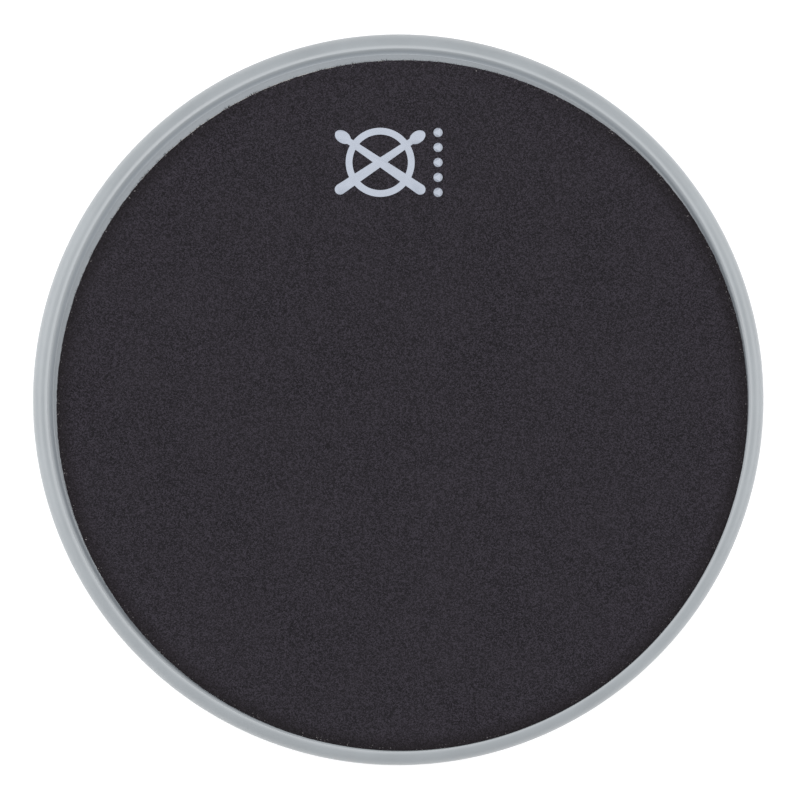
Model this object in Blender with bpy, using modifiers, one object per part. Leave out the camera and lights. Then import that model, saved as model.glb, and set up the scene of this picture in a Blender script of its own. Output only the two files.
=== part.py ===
"""Round drummer's practice pad, 305 mm across: a soft grey tray that holds a stiff board and a foam
cushion, with a black knit playing surface on top and a threaded stand insert and a grip sheet below.

Units are metres, +Z is up, and the origin is on the pad's axis at the surface that it stands on.
The printed emblem lies towards +Y, the side away from the player.
"""

import math

import bmesh
import bpy

MM = 0.001

# Fits
GAP = 0.3 * MM  # between pieces that touch
ROUND_STEPS = 72  # facets round every large disc, the same for all so that they nest
SMALL_STEPS = 24  # facets round the insert and the screws
SHARP_ANGLE = math.radians(35)
MERGE_DISTANCE = 0.00001

# Outside size
PAD_RADIUS = 152.5 * MM  # the tray at its widest
WIDEST_HEIGHT = 18.6 * MM
CREST_HEIGHT = 27.0 * MM  # top of the small bead at the tray's mouth
BEAD_RADIUS = 0.8 * MM
MOUTH_RADIUS = 145.9 * MM  # the tray's inner wall
BULGE_START = 1.6 * MM  # from the bead's centre out to the top of the bulge
BULGE_DROP = 0.8 * MM  # from the crest down to the top of the bulge
UNDERSIDE_HEIGHT = 1.2 * MM  # the tray's own underside, just clear of the floor
UNDERSIDE_RADIUS = 144.5 * MM  # where the wall's curve runs into the flat underside

# Grip sheet, let into the underside
GRIP_THICKNESS = 2.5 * MM
GRIP_OUTER = 130.0 * MM
GRIP_INNER = 24.0 * MM
GRIP_CHAMFER = 0.5 * MM
GRIP_CLEARANCE = 0.5 * MM  # between the sheet's edge and its recess

# Tray floor and its centre hole
TRAY_FLOOR_TOP = 6.8 * MM
TRAY_HOLE_RADIUS = 21.5 * MM
TRAY_FILLET = 1.2 * MM  # between floor and wall, inside

# Core board
BOARD_THICKNESS = 9.0 * MM
BOARD_RADIUS = 145.4 * MM

# Cushion
CUSHION_THICKNESS = 9.1 * MM
CUSHION_RADIUS = 145.6 * MM
SHOULDER_WIDTH = 5.0 * MM  # the rounded shoulder round the cushion's top
SHOULDER_DROP = 0.8 * MM

# Playing surface: a knit on a thin foam backing, placed by hand a little off the axis
SHEET_RADIUS = 143.1 * MM
SHEET_CENTRE = (1.24 * MM, -2.07 * MM)
BACKING_THICKNESS = 0.6 * MM
KNIT_THICKNESS = 0.5 * MM

# Stand insert, its board hole and its screws
FLANGE_RADIUS = 19.5 * MM
FLANGE_THICKNESS = 2.0 * MM
FLANGE_CHAMFER = 0.4 * MM
BARREL_RADIUS = 6.0 * MM
BARREL_LENGTH = 9.0 * MM
THREAD_RADIUS = 3.4 * MM  # tapping size of an M8 thread
THREAD_DEPTH = 10.0 * MM
SCREW_COUNT = 4
SCREW_CIRCLE = 13.4 * MM
SCREW_HEAD_RADIUS = 3.4 * MM
SCREW_HEAD_SUNK = 0.2 * MM
SCREW_HEAD_RIM = 0.3 * MM
SCREW_SHANK_RADIUS = 1.5 * MM
SCREW_LENGTH = 9.4 * MM
SCREW_TIP = 1.6 * MM
SLOT_LENGTH = 3.6 * MM
SLOT_WIDTH = 0.9 * MM
SLOT_DEPTH = 1.3 * MM

# Printed film: two drumsticks crossed over a ring, and a column of dots beside them
FILM_THICKNESS = 0.2 * MM
EMBLEM_CENTRE = (-8.4 * MM, 98.9 * MM)
STICK_LENGTH = 44.5 * MM
STICK_ANGLE = math.radians(34.0)
BUTT_HALF_WIDTH = 2.2 * MM
NECK_HALF_WIDTH = 1.3 * MM
TIP_LENGTH = 7.2 * MM
TIP_HALF_WIDTH = 2.5 * MM
RING_OUTER = 14.3 * MM
RING_WIDTH = 2.8 * MM
DOT_COUNT = 5
DOT_RADIUS = 1.9 * MM
DOT_PITCH = 6.2 * MM
DOTS_CENTRE = (15.6 * MM, 98.9 * MM)

# Heights of the stack, from the floor up
GRIP_SEAT = GRIP_THICKNESS + GAP
BOARD_BOTTOM = TRAY_FLOOR_TOP + GAP
BOARD_TOP = BOARD_BOTTOM + BOARD_THICKNESS
CUSHION_BOTTOM = BOARD_TOP + GAP
CUSHION_TOP = CUSHION_BOTTOM + CUSHION_THICKNESS
BACKING_BOTTOM = CUSHION_TOP + GAP
BACKING_TOP = BACKING_BOTTOM + BACKING_THICKNESS
KNIT_BOTTOM = BACKING_TOP + GAP
KNIT_TOP = KNIT_BOTTOM + KNIT_THICKNESS
FILM_BOTTOM = KNIT_TOP + GAP
FLANGE_TOP = BOARD_BOTTOM - GAP
FLANGE_BOTTOM = FLANGE_TOP - FLANGE_THICKNESS


# ---------------------------------------------------------------- scene and materials


def clear_scene():
    for obj in list(bpy.data.objects):
        bpy.data.objects.remove(obj, do_unlink=True)


def new_collection(name, hidden=False):
    collection = bpy.data.collections.new(name)
    bpy.context.scene.collection.children.link(collection)
    collection.hide_render = hidden
    return collection


def material(name, colour, roughness, metallic=0.0):
    made = bpy.data.materials.new(name)
    made.use_nodes = True
    shader = made.node_tree.nodes["Principled BSDF"]
    shader.inputs["Base Color"].default_value = (*colour, 1.0)
    shader.inputs["Roughness"].default_value = roughness
    shader.inputs["Metallic"].default_value = metallic
    made.diffuse_color = (*colour, 1.0)
    return made


# ---------------------------------------------------------------- outlines


def arc(centre, radii, start, end, count):
    """Points on an ellipse round centre, from angle start to angle end in degrees."""
    points = []
    for i in range(count + 1):
        angle = math.radians(start + (end - start) * i / count)
        across = centre[0] + radii[0] * math.cos(angle)
        up = centre[1] + radii[1] * math.sin(angle)
        points.append((across, up))
    return points


def bezier(p0, p1, p2, p3, count):
    points = []
    for i in range(count + 1):
        t = i / count
        weights = ((1 - t) ** 3, 3 * t * (1 - t) ** 2, 3 * t * t * (1 - t), t**3)
        across = sum(w * p[0] for w, p in zip(weights, (p0, p1, p2, p3)))
        up = sum(w * p[1] for w, p in zip(weights, (p0, p1, p2, p3)))
        points.append((across, up))
    return points


def joined(*stretches):
    """One outline from several stretches, with the point that two neighbours share kept once."""
    outline = []
    for stretch in stretches:
        for point in stretch:
            if not outline or math.dist(point, outline[-1]) > MERGE_DISTANCE:
                outline.append(point)
    if math.dist(outline[0], outline[-1]) <= MERGE_DISTANCE:
        outline.pop()
    return outline


# ---------------------------------------------------------------- solids


def settle(obj):
    """Makes the object's evaluated mesh its own, and shades it smooth up to its sharp edges."""
    bpy.context.view_layer.update()
    evaluated = obj.evaluated_get(bpy.context.evaluated_depsgraph_get())
    mesh = bpy.data.meshes.new_from_object(evaluated)
    mesh.name = obj.name
    obj.modifiers.clear()
    obj.data = mesh
    mesh.shade_smooth()
    mesh.set_sharp_from_angle(angle=SHARP_ANGLE)


def turned(name, profile, collection, finish=None, closed=True, steps=ROUND_STEPS):
    """A profile of (radius, height) points, swept once round the Z axis. It runs down its outer side."""
    edges = [(i, i + 1) for i in range(len(profile) - 1)]
    if closed:
        edges.append((len(profile) - 1, 0))
    mesh = bpy.data.meshes.new(name)
    mesh.from_pydata([(radius, 0.0, height) for radius, height in profile], edges, [])
    obj = bpy.data.objects.new(name, mesh)
    collection.objects.link(obj)
    screw = obj.modifiers.new("turn", "SCREW")
    screw.axis = "Z"
    screw.angle = math.tau
    screw.steps = steps
    screw.render_steps = steps
    screw.use_merge_vertices = True
    screw.merge_threshold = MERGE_DISTANCE
    settle(obj)
    if finish:
        obj.data.materials.clear()
        obj.data.materials.append(finish)
    return obj


def disc(name, radius, bottom, top, chamfer, collection, finish):
    """A plain disc, or with a chamfer a disc with both rims broken."""
    profile = joined(
        [(0.0, top), (radius - chamfer, top), (radius, top - chamfer)],
        [(radius, bottom + chamfer), (radius - chamfer, bottom), (0.0, bottom)],
    )
    return turned(name, profile, collection, finish, closed=False)


def flat_film(name, outline, collection, finish):
    """A flat outline of (x, y) points, as thick as the printed film, resting at its height."""
    curve = bpy.data.curves.new(name, "CURVE")
    curve.dimensions = "2D"
    curve.fill_mode = "BOTH"
    curve.extrude = FILM_THICKNESS / 2
    spline = curve.splines.new("POLY")
    spline.points.add(len(outline) - 1)
    for point, (x, y) in zip(spline.points, outline):
        point.co = (x, y, 0.0, 1.0)
    spline.use_cyclic_u = True
    guide = bpy.data.objects.new(name + "_outline", curve)
    collection.objects.link(guide)
    bpy.context.view_layer.update()
    evaluated = guide.evaluated_get(bpy.context.evaluated_depsgraph_get())
    mesh = bpy.data.meshes.new_from_object(evaluated)
    bpy.data.objects.remove(guide)
    shape = bmesh.new()
    shape.from_mesh(mesh)
    bmesh.ops.remove_doubles(shape, verts=shape.verts, dist=MERGE_DISTANCE)
    bmesh.ops.recalc_face_normals(shape, faces=shape.faces)
    shape.to_mesh(mesh)
    shape.free()
    mesh.materials.clear()
    mesh.materials.append(finish)
    obj = bpy.data.objects.new(name, mesh)
    collection.objects.link(obj)
    return obj


def cutter_from(obj):
    obj.display_type = "WIRE"
    obj.hide_render = True
    return obj


def combine(obj, other, operation):
    boolean = obj.modifiers.new(f"{operation.lower()}_{other.name}", "BOOLEAN")
    boolean.operation = operation
    boolean.solver = "EXACT"
    boolean.object = other


# ---------------------------------------------------------------- the pad's pieces


def make_base_grip(parts, finish):
    """A flat ring of foam rubber that the pad stands on. Its middle is open for the stand."""
    c = GRIP_CHAMFER
    profile = [
        (GRIP_INNER, GRIP_THICKNESS),
        (GRIP_OUTER, GRIP_THICKNESS),
        (GRIP_OUTER, c),
        (GRIP_OUTER - c, 0.0),
        (GRIP_INNER + c, 0.0),
        (GRIP_INNER, c),
    ]
    return turned("base_grip", profile, parts, finish)


def make_rim_tray(parts, finish):
    """The moulded tray: a bulging wall with a small bead at its mouth, and a floor with one hole."""
    bead = (MOUTH_RADIUS + BEAD_RADIUS, CREST_HEIGHT - BEAD_RADIUS)
    bulge_top = (bead[0] + BULGE_START, CREST_HEIGHT - BULGE_DROP)
    bulge_radii = (PAD_RADIUS - bulge_top[0], bulge_top[1] - WIDEST_HEIGHT)
    recess_outer = GRIP_OUTER + GRIP_CLEARANCE
    recess_inner = GRIP_INNER - GRIP_CLEARANCE
    corner = (MOUTH_RADIUS - TRAY_FILLET, TRAY_FLOOR_TOP + TRAY_FILLET)
    profile = joined(
        arc(bead, (BEAD_RADIUS, BEAD_RADIUS), 180, 0, 8),
        bezier(
            (bead[0] + BEAD_RADIUS, bead[1]),
            (bead[0] + BEAD_RADIUS, bulge_top[1]),
            (bead[0] + BEAD_RADIUS, bulge_top[1]),
            bulge_top,
            3,
        ),
        arc((bulge_top[0], WIDEST_HEIGHT), bulge_radii, 90, 0, 9),
        bezier(
            (PAD_RADIUS, WIDEST_HEIGHT),
            (PAD_RADIUS, WIDEST_HEIGHT / 2),
            (PAD_RADIUS - 1.6 * MM, UNDERSIDE_HEIGHT),
            (UNDERSIDE_RADIUS, UNDERSIDE_HEIGHT),
            9,
        ),
        [(recess_outer, UNDERSIDE_HEIGHT), (recess_outer, GRIP_SEAT)],
        [(recess_inner, GRIP_SEAT), (recess_inner, UNDERSIDE_HEIGHT)],
        [(TRAY_HOLE_RADIUS, UNDERSIDE_HEIGHT), (TRAY_HOLE_RADIUS, TRAY_FLOOR_TOP)],
        arc(corner, (TRAY_FILLET, TRAY_FILLET), 270, 360, 3),
    )
    return turned("rim_tray", profile, parts, finish)


def make_core_board(parts, cutters, finish):
    """The stiff disc that carries the insert. It has a hole for the barrel and four for the screws."""
    chamfer = TRAY_FILLET + GAP
    board = disc("core_board", BOARD_RADIUS, BOARD_BOTTOM, BOARD_TOP, chamfer, parts, finish)
    hole_radius = BARREL_RADIUS + GAP
    profile = [
        (0.0, BOARD_TOP + MM),
        (hole_radius, BOARD_TOP + MM),
        (hole_radius, BOARD_BOTTOM - MM),
        (0.0, BOARD_BOTTOM - MM),
    ]
    hole = turned("barrel_hole", profile, cutters, closed=False, steps=SMALL_STEPS)
    combine(board, cutter_from(hole), "DIFFERENCE")
    pilot_radius = SCREW_SHANK_RADIUS + GAP
    pilot_top = FLANGE_BOTTOM + SCREW_HEAD_SUNK + SCREW_LENGTH + GAP
    pilot = [
        (0.0, pilot_top),
        (pilot_radius, pilot_top),
        (pilot_radius, BOARD_BOTTOM - MM),
        (0.0, BOARD_BOTTOM - MM),
    ]
    for number, (x, y) in enumerate(screw_places(), 1):
        name = f"pilot_hole_{number}"
        hole = turned(name, pilot, cutters, closed=False, steps=SMALL_STEPS)
        hole.location = (x, y, 0.0)
        combine(board, cutter_from(hole), "DIFFERENCE")
    return board


def screw_places():
    places = []
    for i in range(SCREW_COUNT):
        angle = math.tau * (i + 0.5) / SCREW_COUNT
        places.append((SCREW_CIRCLE * math.cos(angle), SCREW_CIRCLE * math.sin(angle)))
    return places


def make_stand_insert(parts, cutters, finish):
    """A steel flange with a blind threaded barrel, and a countersunk hole for each screw."""
    barrel_top = FLANGE_TOP + BARREL_LENGTH
    thread_top = FLANGE_BOTTOM + THREAD_DEPTH
    c = FLANGE_CHAMFER
    profile = [
        (0.0, barrel_top),
        (BARREL_RADIUS - c, barrel_top),
        (BARREL_RADIUS, barrel_top - c),
        (BARREL_RADIUS, FLANGE_TOP),
        (FLANGE_RADIUS, FLANGE_TOP),
        (FLANGE_RADIUS, FLANGE_BOTTOM + c),
        (FLANGE_RADIUS - c, FLANGE_BOTTOM),
        (THREAD_RADIUS + c, FLANGE_BOTTOM),
        (THREAD_RADIUS, FLANGE_BOTTOM + c),
        (THREAD_RADIUS, thread_top),
        (0.0, thread_top),
    ]
    insert = turned("stand_insert", profile, parts, finish, closed=False, steps=SMALL_STEPS * 2)
    head_bottom = FLANGE_BOTTOM + SCREW_HEAD_SUNK
    cone_offset = GAP * math.sqrt(2)  # keeps the gap square to the 45 degree cone
    wide = SCREW_HEAD_RADIUS + cone_offset
    cone_start = head_bottom + SCREW_HEAD_RIM
    cone_run = wide - SCREW_SHANK_RADIUS - GAP
    sink = [
        (0.0, FLANGE_TOP + MM),
        (wide - cone_run, FLANGE_TOP + MM),
        (wide - cone_run, cone_start + cone_run),
        (wide, cone_start),
        (wide, FLANGE_BOTTOM - MM),
        (0.0, FLANGE_BOTTOM - MM),
    ]
    for number, (x, y) in enumerate(screw_places(), 1):
        hole = turned(f"countersink_{number}", sink, cutters, closed=False, steps=SMALL_STEPS)
        hole.location = (x, y, 0.0)
        combine(insert, cutter_from(hole), "DIFFERENCE")
    return insert


def make_insert_screws(parts, cutters, finish):
    """Countersunk wood screws, heads down, each with a cross slot. All share one mesh."""
    cone = SCREW_HEAD_RADIUS - SCREW_SHANK_RADIUS
    profile = [
        (0.0, SCREW_LENGTH),
        (SCREW_SHANK_RADIUS, SCREW_LENGTH - SCREW_TIP),
        (SCREW_SHANK_RADIUS, SCREW_HEAD_RIM + cone),
        (SCREW_HEAD_RADIUS, SCREW_HEAD_RIM),
        (SCREW_HEAD_RADIUS, 0.0),
        (0.0, 0.0),
    ]
    first = turned("insert_screw_1", profile, parts, finish, closed=False, steps=SMALL_STEPS)
    slots = {"slot_along": (SLOT_LENGTH, SLOT_WIDTH), "slot_across": (SLOT_WIDTH, SLOT_LENGTH)}
    for name, size in slots.items():
        bpy.ops.mesh.primitive_cube_add(size=1.0)
        slot = bpy.context.object
        slot.name = name
        slot.scale = (size[0], size[1], 2 * SLOT_DEPTH)
        for collection in slot.users_collection:
            collection.objects.unlink(slot)
        cutters.objects.link(slot)
        combine(first, cutter_from(slot), "DIFFERENCE")
    settle(first)
    height = FLANGE_BOTTOM + SCREW_HEAD_SUNK
    for number, (x, y) in enumerate(screw_places(), 1):
        name = f"insert_screw_{number}"
        screw = first
        if number > 1:
            screw = bpy.data.objects.new(name, first.data)
            parts.objects.link(screw)
        screw.location = (x, y, height)
        screw.rotation_euler[2] = math.radians(25 * number)


def make_cushion(parts, finish):
    """The foam disc under the playing surface, with a soft shoulder round its top."""
    shoulder = (CUSHION_RADIUS - SHOULDER_WIDTH, CUSHION_TOP - SHOULDER_DROP)
    profile = joined(
        [(0.0, CUSHION_TOP)],
        arc(shoulder, (SHOULDER_WIDTH, SHOULDER_DROP), 90, 0, 6),
        [(CUSHION_RADIUS, CUSHION_BOTTOM), (0.0, CUSHION_BOTTOM)],
    )
    return turned("cushion", profile, parts, finish, closed=False)


def make_playing_surface(parts, foam_finish, knit_finish):
    backing = disc("backing_foam", SHEET_RADIUS, BACKING_BOTTOM, BACKING_TOP, 0.0, parts, foam_finish)
    knit = disc("knit_face", SHEET_RADIUS, KNIT_BOTTOM, KNIT_TOP, 0.0, parts, knit_finish)
    for layer in (backing, knit):
        layer.location = (*SHEET_CENTRE, 0.0)


def stick_outline():
    """One drumstick lying along X, centred on the origin: round butt, tapered shaft, oval tip."""
    butt = -STICK_LENGTH / 2
    tip_centre = STICK_LENGTH / 2 - TIP_LENGTH / 2
    # The angle on the oval where its half width is the neck's, so that the tip grows out of the neck.
    meet = 180 - math.degrees(math.asin(NECK_HALF_WIDTH / TIP_HALF_WIDTH))
    tip = arc((tip_centre, 0.0), (TIP_LENGTH / 2, TIP_HALF_WIDTH), -meet, meet, 22)
    end = arc((butt + BUTT_HALF_WIDTH, 0.0), (BUTT_HALF_WIDTH, BUTT_HALF_WIDTH), 90, 270, 10)
    return joined(end, tip)


def turned_outline(outline, angle):
    """The outline turned by angle about the origin, then moved so that the origin is the emblem's."""
    cos, sin = math.cos(angle), math.sin(angle)
    across, along = EMBLEM_CENTRE
    return [(across + x * cos - y * sin, along + x * sin + y * cos) for x, y in outline]


def make_printed_emblem(parts, cutters, finish):
    """Two drumsticks, tips up, crossed over a ring, as one film."""
    stick = stick_outline()
    middle = FILM_BOTTOM + FILM_THICKNESS / 2
    emblem = flat_film("printed_emblem", turned_outline(stick, STICK_ANGLE), parts, finish)
    other = flat_film("second_stick", turned_outline(stick, math.pi - STICK_ANGLE), cutters, finish)
    emblem.location.z = middle
    other.location.z = middle
    combine(emblem, cutter_from(other), "UNION")
    ring = [
        (RING_OUTER - RING_WIDTH, FILM_THICKNESS / 2),
        (RING_OUTER, FILM_THICKNESS / 2),
        (RING_OUTER, -FILM_THICKNESS / 2),
        (RING_OUTER - RING_WIDTH, -FILM_THICKNESS / 2),
    ]
    hoop = turned("emblem_ring", ring, cutters, finish)
    hoop.location = (*EMBLEM_CENTRE, middle)
    combine(emblem, cutter_from(hoop), "UNION")


def make_printed_dots(parts, finish):
    for number in range(1, DOT_COUNT + 1):
        place = DOTS_CENTRE[1] + (number - (DOT_COUNT + 1) / 2) * DOT_PITCH
        bpy.ops.mesh.primitive_cylinder_add(
            vertices=SMALL_STEPS,
            radius=DOT_RADIUS,
            depth=FILM_THICKNESS,
            location=(DOTS_CENTRE[0], place, FILM_BOTTOM + FILM_THICKNESS / 2),
        )
        dot = bpy.context.object
        dot.name = f"printed_dot_{number}"
        dot.data.materials.append(finish)
        for collection in dot.users_collection:
            collection.objects.unlink(dot)
        parts.objects.link(dot)


def main():
    clear_scene()
    parts = new_collection("practice_pad")
    cutters = new_collection("cutters", hidden=True)
    tray_grey = material("tray_silicone", (0.38, 0.41, 0.44), 0.45)
    grip_black = material("grip_rubber", (0.03, 0.03, 0.032), 0.85)
    board_brown = material("board_fibre", (0.36, 0.24, 0.13), 0.8)
    steel = material("insert_steel", (0.60, 0.61, 0.62), 0.35, metallic=1.0)
    screw_steel = material("screw_steel", (0.52, 0.52, 0.50), 0.3, metallic=1.0)
    foam_grey = material("cushion_foam", (0.34, 0.36, 0.39), 0.8)
    backing_grey = material("backing_foam_grey", (0.55, 0.56, 0.58), 0.9)
    knit_black = material("knit_black", (0.032, 0.030, 0.037), 0.9)
    film_pale = material("film_pale_grey", (0.52, 0.58, 0.66), 0.6)

    make_base_grip(parts, grip_black)
    make_rim_tray(parts, tray_grey)
    make_core_board(parts, cutters, board_brown)
    make_stand_insert(parts, cutters, steel)
    make_insert_screws(parts, cutters, screw_steel)
    make_cushion(parts, foam_grey)
    make_playing_surface(parts, backing_grey, knit_black)
    make_printed_emblem(parts, cutters, film_pale)
    make_printed_dots(parts, film_pale)


main()
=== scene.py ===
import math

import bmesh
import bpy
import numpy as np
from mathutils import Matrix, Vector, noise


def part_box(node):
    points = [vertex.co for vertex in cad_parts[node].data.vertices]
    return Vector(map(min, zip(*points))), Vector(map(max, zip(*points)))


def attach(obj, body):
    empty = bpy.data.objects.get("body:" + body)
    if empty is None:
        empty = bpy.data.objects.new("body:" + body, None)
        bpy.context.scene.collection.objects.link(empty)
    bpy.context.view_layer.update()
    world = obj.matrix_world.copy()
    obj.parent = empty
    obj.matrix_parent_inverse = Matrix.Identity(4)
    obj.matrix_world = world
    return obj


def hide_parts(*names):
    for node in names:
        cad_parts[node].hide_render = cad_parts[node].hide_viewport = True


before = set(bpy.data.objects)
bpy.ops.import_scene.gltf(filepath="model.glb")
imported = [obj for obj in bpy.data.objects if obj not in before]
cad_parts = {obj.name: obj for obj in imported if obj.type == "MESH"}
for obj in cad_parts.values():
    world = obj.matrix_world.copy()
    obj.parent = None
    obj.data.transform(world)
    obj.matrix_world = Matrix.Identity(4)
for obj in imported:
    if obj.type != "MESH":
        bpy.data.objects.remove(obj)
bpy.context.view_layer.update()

# %% [markdown]
# # A drummer's practice pad
#
# The real pad is a glued stack. A soft grey tray of moulded silicone holds a stiff board and a foam cushion.
# A black knit on a thin foam backing is glued on the cushion, and a pale emblem is printed on the knit.
# A steel insert below takes a stand, and a sheet of rubber grip keeps the pad still on a table.
#
# Every piece is made here from the sizes that the frame gives, so nothing has to be fitted afterwards.
# All lengths are metres, +Z is up, and +Y is the side away from the player.

MM = 0.001
GLUE_GAP = 0.3 * MM  # the frame's solids keep this gap where the real pieces are glued together

tray_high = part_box("rim_tray")[1]
grip_low, grip_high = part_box("base_grip")
board_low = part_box("core_board")[0]
cushion_low, cushion_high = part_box("cushion")
backing_low, backing_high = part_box("backing_foam")
knit_low, knit_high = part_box("knit_face")
insert_low, insert_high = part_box("stand_insert")

pad_radius = tray_high.x
sheet_radius = (knit_high.x - knit_low.x) / 2
sheet_centre = Vector(((knit_high.x + knit_low.x) / 2, (knit_high.y + knit_low.y) / 2))
print(f"sheet {2000 * sheet_radius:.1f} mm across, off the axis by {1000 * sheet_centre.length:.2f} mm")

# %% [markdown]
# ## Camera, floor and light
#
# The pad is looked at from almost straight above. A long lens keeps its rim a true circle, and a lean of
# a little under three degrees is enough to show more of one side's shoulder than of the other's. The
# camera's axes are set as a matrix, because a tracking rotation picks its own "up" when it looks down.

# %% Camera
CAMERA_DISTANCE = 1.45
CAMERA_LEAN = math.radians(2.7)
LEAN_TOWARDS = Vector((-0.87, 0.5, 0.0))
FRAME_WIDTH = 333.9 * MM  # how much of the scene the picture takes in, at the pad's widest ring
AIM = Vector((0.16 * MM, 0.22 * MM, 18.6 * MM))


def axes_matrix(place, backwards, up):
    """A matrix whose Z points backwards and whose Y is as near to up as it can be."""
    z_axis = backwards.normalized()
    x_axis = up.cross(z_axis).normalized()
    y_axis = z_axis.cross(x_axis)
    return Matrix.Translation(place) @ Matrix((x_axis, y_axis, z_axis)).transposed().to_4x4()


def add_object(name, data):
    piece = bpy.data.objects.new(name, data)
    bpy.context.scene.collection.objects.link(piece)
    return piece


def make_camera():
    camera = add_object("camera", bpy.data.cameras.new("camera"))
    lean = LEAN_TOWARDS.normalized() * math.sin(CAMERA_LEAN)
    backwards = Vector((lean.x, lean.y, math.cos(CAMERA_LEAN)))
    place = AIM + backwards * CAMERA_DISTANCE
    camera.matrix_world = axes_matrix(place, backwards, Vector((0.0, 1.0, 0.0)))
    camera.data.sensor_width = 36.0
    camera.data.lens = 36.0 * CAMERA_DISTANCE / FRAME_WIDTH
    camera.data.clip_start = 0.05
    camera.data.clip_end = 30.0
    bpy.context.scene.camera = camera
    print(f"camera {CAMERA_DISTANCE} m away with a {camera.data.lens:.0f} mm lens")


make_camera()

# %% [markdown]
# The light is that of a packing table: two long, low soft boxes, one to the left and one to the right and
# both a little behind the pad, a third one overhead, and a floor that glows like a sheet of lit acrylic.
# Low light from the sides is why the tray is brighter at the left and right than at the top and bottom.

# %% A helper for node trees, then floor and light


def node(tree, kind, sockets=None, **settings):
    """Adds a node. A socket gets a value, or a link if what it is given is another node's output."""
    made = tree.nodes.new(kind)
    for name, value in settings.items():
        setattr(made, name, value)
    for key, value in (sockets or {}).items():
        if isinstance(value, bpy.types.NodeSocket):
            tree.links.new(value, made.inputs[key])
        else:
            made.inputs[key].default_value = value
    return made


def maths(tree, operation, *values):
    return node(tree, "ShaderNodeMath", dict(enumerate(values)), operation=operation).outputs[0]


def vector_maths(tree, operation, *values):
    made = node(tree, "ShaderNodeVectorMath", dict(enumerate(values)), operation=operation)
    return made.outputs["Value" if operation in ("LENGTH", "DOT_PRODUCT") else "Vector"]


def spread(tree, value, low, high, start=0.0, end=1.0):
    """The value, from start to end, stretched to run from low to high."""
    sockets = {"Value": value, "From Min": start, "From Max": end, "To Min": low, "To Max": high}
    return node(tree, "ShaderNodeMapRange", sockets).outputs[0]


def srgb(red, green, blue):
    """A linear colour from the 0 to 255 numbers of a colour card."""
    return tuple(((c / 255 + 0.055) / 1.055) ** 2.4 if c > 10 else c / 3294.6 for c in (red, green, blue))


def scaled(colour, factor):
    return tuple(min(1.0, c * factor) for c in colour)


def soft_box(name, place, size, power):
    """A rectangular light that faces the pad."""
    light = bpy.data.lights.new(name, "AREA")
    light.shape = "RECTANGLE"
    light.size, light.size_y = size
    light.energy = power
    holder = add_object(name, light)
    place = Vector(place)
    holder.matrix_world = axes_matrix(place, place, Vector((0.0, 1.0, 0.0)))


def make_studio():
    world = bpy.data.worlds.new("studio")
    bpy.context.scene.world = world
    world.use_nodes = True
    world.node_tree.nodes["Background"].inputs["Color"].default_value = (1.0, 1.0, 1.0, 1.0)
    world.node_tree.nodes["Background"].inputs["Strength"].default_value = 0.56
    soft_box("box_left", (-1.6, 0.15, 0.68), (0.8, 1.8), 14.4)
    soft_box("box_right", (1.6, 0.15, 0.68), (0.8, 1.8), 13.4)
    soft_box("box_above", (-0.1, 0.2, 2.1), (1.2, 1.0), 22.0)

    bpy.ops.mesh.primitive_plane_add(size=9.0)
    floor = bpy.context.object
    floor.name = "floor"
    paint = bpy.data.materials.new("lit_table")
    paint.use_nodes = True
    tree = paint.node_tree
    shader = tree.nodes["Principled BSDF"]
    place = node(tree, "ShaderNodeTexCoord")
    grain = node(tree, "ShaderNodeTexNoise", {"Vector": place.outputs["Object"], "Scale": 3.0, "Detail": 3.0})
    tint = spread(tree, grain.outputs["Fac"], 0.83, 0.87)
    pale = node(tree, "ShaderNodeCombineColor", {0: tint, 1: tint, 2: tint})
    tree.links.new(pale.outputs[0], shader.inputs["Base Color"])
    shader.inputs["Roughness"].default_value = 0.7
    shader.inputs["Emission Color"].default_value = (1.0, 1.0, 1.0, 1.0)
    shader.inputs["Emission Strength"].default_value = 0.3
    floor.data.materials.append(paint)
    bpy.context.scene.view_settings.view_transform = "Standard"


make_studio()

# %% [markdown]
# ## Helpers for turned shapes
#
# Most of the pad is round, so most pieces are a half section swept round the Z axis. Blender's Screw
# modifier does that, and so does Geometry Nodes: the section becomes a curve, and Curve to Mesh sweeps it
# along a circle. The node tree is used here, because the same tree can go on to add what repeats.
#
# A section is a list of (radius, height) points that runs down its outer side.

# %% Outlines


def arc(centre, radii, start, end, count):
    """Points on an ellipse round centre, from angle start to angle end in degrees."""
    angles = np.radians(np.linspace(start, end, count + 1))
    return [(centre[0] + radii[0] * math.cos(a), centre[1] + radii[1] * math.sin(a)) for a in angles]


def bezier(p0, p1, p2, p3, count):
    points = []
    for t in np.linspace(0.0, 1.0, count + 1):
        weights = ((1 - t) ** 3, 3 * t * (1 - t) ** 2, 3 * t * t * (1 - t), t**3)
        corners = (p0, p1, p2, p3)
        points.append(tuple(sum(w * p[k] for w, p in zip(weights, corners)) for k in (0, 1)))
    return points


def joined(*stretches):
    """One outline from several stretches, with the point that two neighbours share kept once."""
    outline = []
    for stretch in stretches:
        for point in stretch:
            if not outline or math.dist(point, outline[-1]) > 0.001 * MM:
                outline.append(tuple(point))
    if math.dist(outline[0], outline[-1]) <= 0.001 * MM:
        outline.pop()
    return outline


def softened(outline, width, steps=3, closed=True):
    """The outline with each sharp corner cut back by width and rounded. An open one keeps its ends."""
    rounded = []
    for i, corner in enumerate(outline):
        if not closed and i in (0, len(outline) - 1):
            rounded.append(corner)
            continue
        corner = Vector(corner)
        before = Vector(outline[i - 1]) - corner
        after = Vector(outline[(i + 1) % len(outline)]) - corner
        bend = math.pi - before.angle(after)
        reach = min(width, 0.45 * before.length, 0.45 * after.length)
        if bend < math.radians(30):
            rounded.append(tuple(corner))
            continue
        start, end = corner + before.normalized() * reach, corner + after.normalized() * reach
        for t in np.linspace(0.0, 1.0, steps + 1):
            rounded.append(tuple(start * (1 - t) ** 2 + corner * 2 * t * (1 - t) + end * t * t))
    return rounded


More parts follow.
